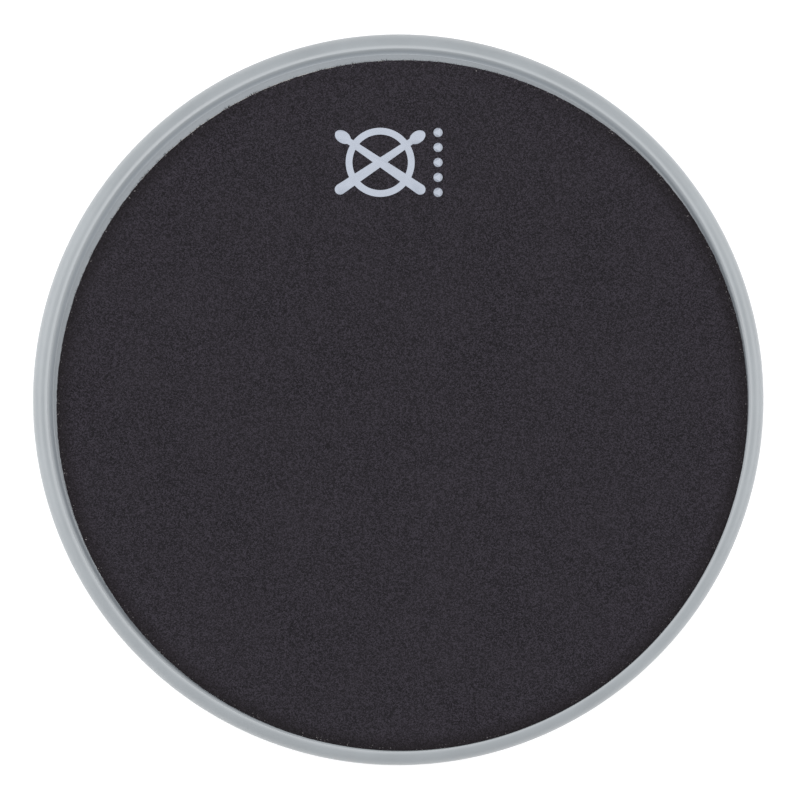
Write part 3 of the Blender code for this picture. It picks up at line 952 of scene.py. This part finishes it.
def fibre_tree():
    tree, inputs, output = new_tree("edge_fibres", **FIBRES)
    line = node(tree, "GeometryNodeMeshToCurve", {"Mesh": inputs.outputs["Geometry"]})
    sockets = {"Curve": line.outputs[0], "Count": inputs.outputs["Count"]}
    points = node(tree, "GeometryNodeCurveToPoints", sockets)
    seed = inputs.outputs["Seed"]
    jitter = random_value(tree, (-0.2 * MM, -0.2 * MM, -0.5 * MM), (0.2 * MM, 0.2 * MM, 0.0), seed)
    moved = node(tree, "GeometryNodeSetPosition", {"Geometry": points.outputs[0], "Offset": jitter})

    bend = node(
        tree,
        "GeometryNodeCurveQuadraticBezier",
        {"Resolution": 3, "Start": (0, 0, 0), "Middle": (0.5, 0.0, 0.12), "End": (1.0, 0.25, 0.0)},
    )
    share = node(tree, "GeometryNodeSplineParameter").outputs["Factor"]
    taper = spread(tree, share, 1.0, 0.35)
    sized = node(tree, "GeometryNodeSetCurveRadius", {"Curve": bend.outputs[0], "Radius": taper})
    girth = {"Resolution": FIBRE_SIDES, "Radius": inputs.outputs["Girth"]}
    round_yarn = node(tree, "GeometryNodeCurvePrimitiveCircle", girth)
    sockets = {"Curve": sized.outputs[0], "Profile Curve": round_yarn.outputs[0], "Fill Caps": True}
    fibre = node(tree, "GeometryNodeCurveToMesh", sockets)
    if "Scale" in fibre.inputs:
        tree.links.new(taper, fibre.inputs["Scale"])

    outward = vector_maths(tree, "CROSS_PRODUCT", points.outputs["Tangent"], (0.0, 0.0, 1.0))
    facing = node(tree, "FunctionNodeAlignRotationToVector", {"Vector": outward}, axis="X")
    lean = random_value(tree, (-3.0, -0.55, -0.95), (3.0, 0.35, 0.95), seed)
    to_turn = node(tree, "FunctionNodeEulerToRotation", {0: lean})
    sockets = {0: facing.outputs[0], 1: to_turn.outputs[0]}
    leant = node(tree, "FunctionNodeRotateRotation", sockets, rotation_space="LOCAL")
    reach = random_value(tree, 0.25, 1.0, maths(tree, "ADD", seed, 1.0))
    spot = node(tree, "GeometryNodeInputPosition")
    patches = node(tree, "ShaderNodeTexNoise", {"Vector": spot.outputs[0], "Scale": 220.0, "Detail": 2.0})
    worn = spread(tree, patches.outputs["Fac"], 0.25, 1.25, 0.38, 0.62)
    side = (math.cos(FUZZY_SIDE) / sheet_radius, math.sin(FUZZY_SIDE) / sheet_radius, 0.0)
    rubbed = spread(tree, vector_maths(tree, "DOT_PRODUCT", spot.outputs[0], side), 0.22, 1.2, 0.55, 1.0)
    length = inputs.outputs["Length"]
    for factor in (reach, worn, rubbed):
        length = maths(tree, "MULTIPLY", length, factor)
    sockets = {"Points": moved.outputs[0], "Instance": fibre.outputs[0], "Rotation": leant.outputs[0]}
    sockets["Scale"] = length
    placed = node(tree, "GeometryNodeInstanceOnPoints", sockets)
    finish_tree(tree, placed.outputs[0], output, knit_black)
    return tree


def make_fibres(name, numbers):
    rim = bpy.data.meshes.new("fibre_rim")
    count = len(knit_rim)
    points = [(x, y, z + knit_thickness) for x, y, z in knit_rim]
    rim.from_pydata(points, [(i, (i + 1) % count) for i in range(count)], [])
    piece = add_object(name, rim)
    grow(piece, fibre_tree(), **numbers)
    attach(piece, "root")
    report(piece)
    return piece


fibres = make_fibres("edge_fibres", FIBRES)
tufts = make_fibres("edge_tufts", TUFTS)

# %% [markdown]
# ## The printed film
#
# The emblem is a heat-pressed film, a tenth of a millimetre thick. It sinks a little into the knit and
# takes on its grain. The frame has its outline, so a merged copy of that outline is pressed down onto the
# knit.

# %% Film finish
FILM_GREY = srgb(164, 171, 184)


def make_film():
    finish = Finish("film_pale", 0.5)
    speckle = finish.noise(1.9, detail=4.0, roughness=0.75)
    clouds = finish.noise(0.2, detail=3.0)
    knit_grain = stitches(finish)
    deep = scaled(FILM_GREY, 0.93)
    body = finish.blend(finish.spread(clouds, 0.0, 1.0, 0.3, 0.7), deep, FILM_GREY)
    thin = finish.spread(speckle, 0.0, 0.16, 0.62, 0.8)
    finish.colour(finish.blend(thin, body, srgb(110, 114, 124)))
    finish.roughness(finish.spread(speckle, 0.42, 0.6))
    finish.bump((speckle, 0.035), (knit_grain, 0.012))
    return finish.material


film_pale = make_film()

# %% Film pieces
FILM_THICKNESS = 0.09 * MM
FILM_SUNK = 0.01 * MM


def knit_height(x, y):
    reach = min(math.hypot(x, y), shoulder_radius)
    return cushion_height(reach) + knit_lift + knit_thickness


def press_film(node_name, piece_name):
    """A copy of the frame's outline, merged, thinned and laid on the knit."""
    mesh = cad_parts[node_name].data.copy()
    piece = add_object(piece_name, mesh)
    close_up(piece)
    low = min(v.co.z for v in mesh.vertices)
    for vertex in mesh.vertices:
        upper = vertex.co.z > low + 0.05 * MM
        base = knit_height(vertex.co.x, vertex.co.y) - FILM_SUNK
        vertex.co.z = base + (FILM_THICKNESS if upper else 0.0)
    mesh.materials.clear()
    mesh.materials.append(film_pale)
    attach(piece, "root")
    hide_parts(node_name)
    report(piece)
    return piece


films = [press_film("printed_emblem", "emblem_film")]
for number in range(1, 6):
    films.append(press_film(f"printed_dot_{number}", f"dot_film_{number}"))

# %% [markdown]
# ## The underside
#
# Nobody looks at the underside from the player's seat, but it is what a stand and a table meet. A steel
# insert with an M8 thread sits in the tray's centre hole, four countersunk screws hold it to the board,
# and a sheet of rubber with small nubs keeps the pad from walking across a table.
#
# The insert is turned, so its section is swept. Its thread is a long wedge wound up the bore: a spiral
# curve with a triangular profile. The countersinks are cut by Boolean, as on a drill press.

# %% Metal
STEEL_GREY = (0.56, 0.57, 0.58)


def make_metal(name, colour, roughness, turning):
    """Zinc-plated steel: a faint turning grain round the pad's axis, cloudy plating, a few scratches."""
    finish = Finish(name, roughness, metallic=1.0)
    ring = node(finish.tree, "ShaderNodeCombineXYZ", {0: finish.reach()[0], 2: finish.apart()[2]}).outputs[0]
    grain = finish.noise(9.0, detail=2.0, place=ring)
    clouds = finish.noise(0.35, detail=4.0)
    scratches = finish.spread(finish.noise(0.9, detail=6.0, distortion=3.0), 1.0, 0.0, 0.5, 0.512)
    deep = scaled(colour, 0.8)
    body = finish.blend(finish.spread(clouds, 0.0, 1.0, 0.35, 0.65), deep, colour)
    finish.colour(finish.blend(finish.maths("MULTIPLY", scratches, 0.2), body, (0.75, 0.75, 0.74)))
    finish.roughness(finish.spread(clouds, roughness - 0.07, roughness + 0.1, 0.3, 0.7))
    finish.bump((grain, turning), (clouds, 0.01))
    return finish.material


insert_steel = make_metal("insert_steel", STEEL_GREY, 0.34, 0.02)
screw_steel = make_metal("screw_steel", (0.50, 0.49, 0.46), 0.28, 0.005)

# %% Stand insert
FLANGE_THICKNESS = 2.0 * MM
BARREL_RADIUS = 6.0 * MM
BORE_RADIUS = 4.0 * MM
CREST_RADIUS = 3.4 * MM
BORE_DEPTH = 10.0 * MM
PITCH = 1.25 * MM
SCREW_CIRCLE = 13.4 * MM
HEAD_RADIUS = 3.4 * MM
SHANK_RADIUS = 1.5 * MM
HEAD_SUNK = 0.2 * MM
HEAD_RIM = 0.3 * MM
FIT = 0.06 * MM  # between a screw's head and its countersink

flange_radius = insert_high.x
flange_bottom = insert_low.z
flange_top = flange_bottom + FLANGE_THICKNESS


def wound_thread(tree, turns, pitch, radii, wedge, stretch, steps, lift):
    """A three-sided wedge wound round the Z axis, from one radius to another."""
    sockets = {"Resolution": steps, "Rotations": turns, "Start Radius": radii[0], "End Radius": radii[1]}
    coil = node(tree, "GeometryNodeCurveSpiral", {**sockets, "Height": maths(tree, "MULTIPLY", turns, pitch)})
    upright = node(tree, "GeometryNodeSetCurveNormal", {"Curve": coil.outputs[0]}, mode="Z_UP")
    section = node(tree, "GeometryNodeCurvePrimitiveCircle", {"Resolution": 3, "Radius": wedge})
    shaped = node(tree, "GeometryNodeTransform", {"Geometry": section.outputs[0], "Scale": (*stretch, 1.0)})
    sockets = {"Curve": upright.outputs[0], "Profile Curve": shaped.outputs[0], "Fill Caps": True}
    ridge = node(tree, "GeometryNodeCurveToMesh", sockets)
    sockets = {"Geometry": ridge.outputs[0], "Translation": (0.0, 0.0, lift)}
    return node(tree, "GeometryNodeTransform", sockets).outputs[0]


def screw_places():
    angles = [math.tau * (i + 0.5) / 4 for i in range(4)]
    return [Vector((SCREW_CIRCLE * math.cos(a), SCREW_CIRCLE * math.sin(a), 0.0)) for a in angles]


def insert_section():
    chamfer = 0.5 * MM
    outline = [
        (0.0, insert_high.z),
        (BARREL_RADIUS, insert_high.z),
        (BARREL_RADIUS, flange_top),
        (flange_radius, flange_top),
        (flange_radius, flange_bottom),
        (BORE_RADIUS + chamfer, flange_bottom),
        (BORE_RADIUS, flange_bottom + chamfer),
        (BORE_RADIUS, flange_bottom + BORE_DEPTH),
        (0.0, flange_bottom + BORE_DEPTH),
    ]
    return softened(outline, 0.45 * MM, steps=4, closed=False)


def cut_countersinks(piece):
    """Cuts the four cones for the screws' heads, one cone after the other."""
    wide = HEAD_RADIUS + FIT
    start = flange_bottom + HEAD_SUNK + HEAD_RIM
    run = HEAD_RADIUS - SHANK_RADIUS
    sink = [
        (0.0, flange_top + MM),
        (SHANK_RADIUS + FIT, flange_top + MM),
        (SHANK_RADIUS + FIT, start + run),
        (wide, start),
        (wide + 0.25 * MM, flange_bottom),
        (wide + 1.25 * MM, flange_bottom - MM),
        (0.0, flange_bottom - MM),
    ]
    for number, place in enumerate(screw_places()):
        cone = turned(f"countersink_{number}", sink, insert_steel, 48, closed=False)
        cone.data.transform(Matrix.Translation(place))
        cut_away(piece, cone)


def make_insert():
    piece = turned("threaded_insert", insert_section(), insert_steel, 96, closed=False)
    cut_countersinks(piece)

    turns = (BORE_DEPTH - 1.4 * MM) / PITCH
    wedge = 0.5 * MM
    stretch = (-0.95 * (BORE_RADIUS - CREST_RADIUS) / wedge, 1.25)
    radii = (BORE_RADIUS, BORE_RADIUS)
    tree, inputs, output = new_tree("wound_thread", Turns=turns)
    lift = flange_bottom + 0.7 * MM
    ridge = wound_thread(tree, inputs.outputs["Turns"], PITCH, radii, wedge, stretch, 48, lift)
    finish_tree(tree, together(tree, ridge, inputs.outputs["Geometry"]), output, insert_steel)
    grow(piece, tree, Turns=turns)
    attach(piece, "root")
    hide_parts("stand_insert")
    report(piece)


make_insert()

# %% [markdown]
# The four screws are one screw, made once. The head and the shank are turned, the thread is wound on like
# the insert's, and the cross recess is two tapered blades cut away. Geometry Nodes then sets a copy in each
# countersink and gives each its own turn, because no two screws stop at the same angle.

# %% Screws
SCREW_LENGTH = 9.4 * MM
SCREW_TIP = 1.6 * MM
SCREW_TURNS = 4.6
RECESS_REACH = 1.9 * MM
RECESS_WIDTH = 0.85 * MM
RECESS_DEPTH = 1.4 * MM


def cross_blade(name, along_x):
    """One arm of the cross recess: a blade that narrows as it goes in."""
    shape = bmesh.new()
    bmesh.ops.create_cube(shape, size=1.0)
    for vertex in shape.verts:
        deep = vertex.co.z > 0
        narrow = 0.55 if deep else 1.1
        x, y = vertex.co.x * 2 * RECESS_REACH * narrow, vertex.co.y * RECESS_WIDTH * (0.7 if deep else 1.0)
        z = RECESS_DEPTH if deep else -0.3 * MM
        vertex.co = (x, y, z) if along_x else (-y, x, z)
    mesh = bpy.data.meshes.new(name)
    shape.to_mesh(mesh)
    shape.free()
    return add_object(name, mesh)


def screw_tree():
    """Winds a thread on the shank, then sets the screw at each of the four places."""
    tree, inputs, output = new_tree("set_screws", Turns=SCREW_TURNS, Seed=5)
    radii = (SHANK_RADIUS - 0.05 * MM, SHANK_RADIUS * 0.72)
    turns = inputs.outputs["Turns"]
    ridge = wound_thread(tree, turns, 1.2 * MM, radii, 0.32 * MM, (1.0, 1.0), 20, 2.7 * MM)
    screw = together(tree, ridge, inputs.outputs["Geometry"])
    square = node(tree, "GeometryNodeMeshCircle", {"Vertices": 4, "Radius": SCREW_CIRCLE})
    place = {"Geometry": square.outputs[0], "Translation": (0.0, 0.0, flange_bottom + HEAD_SUNK)}
    place["Rotation"] = (0.0, 0.0, math.tau / 8)
    spots = node(tree, "GeometryNodeTransform", place)
    turn = random_value(tree, (0.0, 0.0, 0.0), (0.0, 0.0, math.pi / 2), inputs.outputs["Seed"])
    sockets = {"Points": spots.outputs[0], "Instance": screw, "Rotation": turn}
    placed = node(tree, "GeometryNodeInstanceOnPoints", sockets)
    finish_tree(tree, placed.outputs[0], output, screw_steel)
    return tree


def make_screws():
    cone = HEAD_RADIUS - SHANK_RADIUS
    outline = [
        (0.0, SCREW_LENGTH),
        (SHANK_RADIUS * 0.72, SCREW_LENGTH - SCREW_TIP),
        (SHANK_RADIUS, HEAD_RIM + cone),
        (HEAD_RADIUS, HEAD_RIM),
        (HEAD_RADIUS - 0.12 * MM, 0.05 * MM),
        (HEAD_RADIUS - 0.5 * MM, 0.0),
        (0.0, 0.0),
    ]
    piece = turned("insert_screws", outline, screw_steel, 48, closed=False)
    for along_x in (True, False):
        cut_away(piece, cross_blade("recess_blade", along_x))
    grow(piece, screw_tree(), Turns=SCREW_TURNS, Seed=5)
    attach(piece, "root")
    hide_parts(*(f"insert_screw_{number}" for number in range(1, 5)))
    report(piece)


make_screws()

# %% [markdown]
# The grip sheet is foam rubber, cut as a ring, with rows of small nubs moulded on its face. Rows of equal
# things on a plane are again a job for Geometry Nodes: a grid of points, every second row moved half a
# step, the points outside the ring taken away, and one nub on each that is left.

# %% Grip sheet
NUB_PITCH = 6.0 * MM
NUB_WIDE = 1.5 * MM
NUB_NARROW = 1.1 * MM
NUB_HEIGHT = 0.65 * MM
NUB_MARGIN = 0.8 * MM  # between the outermost nubs and the sheet's edges
GRIP_INNER = 24.0 * MM
GRIP_STEPS = 192


def make_rubber():
    finish = Finish("grip_rubber", 0.82)
    skin = finish.noise(2.2, detail=4.0)
    pores, shade = finish.cells(2.5)
    clouds = finish.noise(0.04, detail=4.0)
    dust = finish.spread(finish.noise(0.8, detail=6.0, roughness=0.8), 0.0, 0.35, 0.6, 0.72)
    body = finish.blend(finish.spread(clouds, 0.0, 1.0, 0.35, 0.65), srgb(30, 30, 32), srgb(42, 42, 44))
    mottled = finish.blend(finish.maths("MULTIPLY", shade, 0.25), body, srgb(58, 58, 60))
    finish.colour(finish.blend(dust, mottled, srgb(96, 95, 92)))
    finish.roughness(finish.spread(clouds, 0.74, 0.9, 0.3, 0.7))
    finish.bump((pores, 0.03), (skin, 0.03))
    return finish.material


grip_rubber = make_rubber()


def nub_points(tree):
    """Points in staggered rows, over the ring that the sheet covers."""
    outer, inner = grip_high.x - NUB_WIDE - NUB_MARGIN, GRIP_INNER + NUB_WIDE + NUB_MARGIN
    row_step = NUB_PITCH * math.sin(math.pi / 3)
    count = 2 * int(outer / row_step) + 3
    size = {"Size X": (count - 1) * NUB_PITCH, "Size Y": (count - 1) * row_step}
    grid = node(tree, "GeometryNodeMeshGrid", {**size, "Vertices X": count, "Vertices Y": count})
    spot = node(tree, "GeometryNodeInputPosition").outputs[0]
    along = node(tree, "ShaderNodeSeparateXYZ", {0: spot}).outputs[1]
    row = maths(tree, "ROUND", maths(tree, "DIVIDE", along, row_step))
    odd = maths(tree, "FLOORED_MODULO", row, 2.0)
    shift = node(tree, "ShaderNodeCombineXYZ", {0: maths(tree, "MULTIPLY", odd, NUB_PITCH / 2)})
    laid = node(tree, "GeometryNodeSetPosition", {"Geometry": grid.outputs[0], "Offset": shift.outputs[0]})
    reach = vector_maths(tree, "LENGTH", spot)
    far, near = maths(tree, "GREATER_THAN", reach, outer), maths(tree, "LESS_THAN", reach, inner)
    sockets = {"Geometry": laid.outputs[0], "Selection": maths(tree, "MAXIMUM", far, near)}
    return node(tree, "GeometryNodeDeleteGeometry", sockets).outputs[0]


def grip_tree():
    tree, inputs, output = new_tree("nubbed_sheet", Steps=GRIP_STEPS)
    sheet = sweep_nodes(tree, inputs.outputs["Geometry"], inputs.outputs["Steps"])
    cone = {"Vertices": 10, "Side Segments": 1, "Radius Top": NUB_WIDE, "Radius Bottom": NUB_NARROW}
    nub = node(tree, "GeometryNodeMeshCone", {**cone, "Depth": NUB_HEIGHT})
    nubs = {"Points": nub_points(tree), "Instance": nub.outputs["Mesh"]}
    placed = node(tree, "GeometryNodeInstanceOnPoints", nubs).outputs[0]
    finish_tree(tree, together(tree, placed, sheet), output, grip_rubber)
    return tree


def make_grip():
    top, bottom = grip_high.z, grip_low.z + NUB_HEIGHT - 0.1 * MM
    outline = [(GRIP_INNER, top), (grip_high.x, top), (grip_high.x, bottom), (GRIP_INNER, bottom)]
    piece = section_object("grip_sheet", softened(outline, 0.35 * MM, steps=4))
    grow(piece, grip_tree(), Steps=GRIP_STEPS)
    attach(piece, "root")
    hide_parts("base_grip")
    report(piece)


make_grip()

# %% [markdown]
# The board stays as the frame has it, because all that can be seen of it is a narrow ring round the
# insert. It is fibreboard, so its colour is blotchy and it shows short fibres lying every way.

# %% Fibreboard
def make_board():
    finish = Finish("board_fibre", 0.8)
    fibres = finish.noise(0.9, detail=6.0, roughness=0.7, distortion=2.5)
    grit = finish.noise(5.0, detail=3.0)
    clouds = finish.noise(0.06, detail=3.0)
    body = finish.blend(finish.spread(fibres, 0.0, 1.0, 0.35, 0.65), srgb(132, 104, 72), srgb(178, 146, 106))
    finish.colour(finish.blend(finish.spread(clouds, 0.0, 0.3, 0.3, 0.7), body, srgb(120, 96, 68)))
    finish.roughness(finish.spread(grit, 0.7, 0.9))
    finish.bump((fibres, 0.05), (grit, 0.02))
    return finish.material


wear("core_board", make_board())
